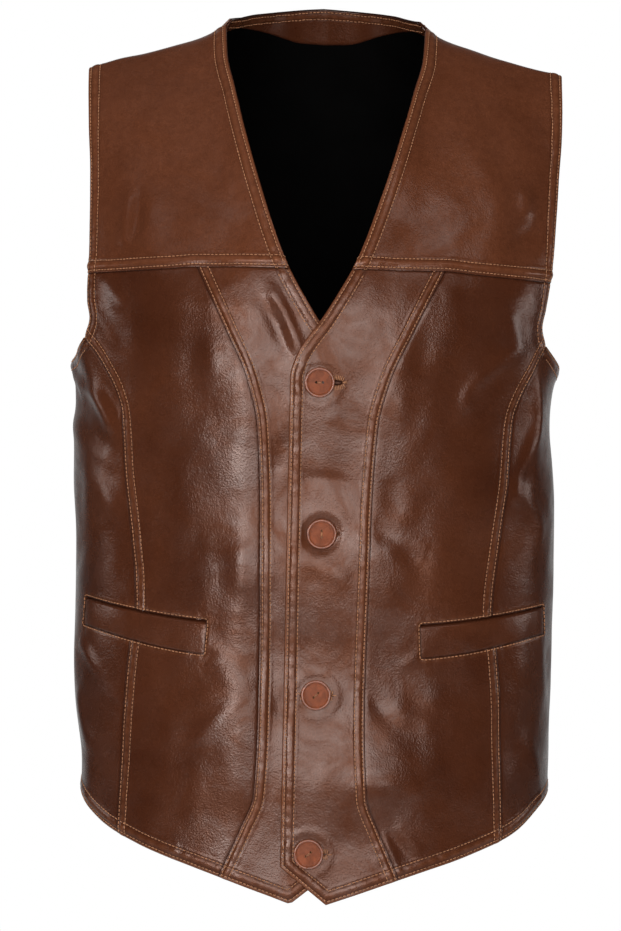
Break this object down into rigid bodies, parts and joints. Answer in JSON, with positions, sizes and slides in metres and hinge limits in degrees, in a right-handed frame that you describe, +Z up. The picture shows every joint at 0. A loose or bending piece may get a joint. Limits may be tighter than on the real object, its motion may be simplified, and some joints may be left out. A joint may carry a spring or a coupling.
{
  "type": "leather vest",
  "caption": "Man's sleeveless leather vest with a V neck, front yokes, pointed front hem, slanted welt pockets and a buttoned front, filled out as if worn.",
  "frame": {"origin": "midway between the two neck points, at shoulder height, where the wearer's shoulders carry the vest", "axes": "+Z up, +X to the wearer's left, -Y out of the front"},
  "size_m": [0.3881, 0.2564, 0.71],
  "materials": {
    "leather": "glossy dark brown with fine grain and light brown stitching",
    "lining": "black woven lining",
    "button": "glossy mottled brown"
  },
  "bodies": {
    "root": {"centre_front_right": "leather", "centre_front_left": "leather", "mid_front_right": "leather", "mid_front_left": "leather", "side_panel_right": "leather", "side_panel_left": "leather", "yoke_right": "leather", "yoke_left": "leather", "welt_right": "leather", "welt_left": "leather", "back_panel": "leather", "back_lining": "lining", "back_neck_facing": "leather", "button_1": "button", "button_2": "button", "button_3": "button", "button_4": "button"}
  },
  "joints": []
}
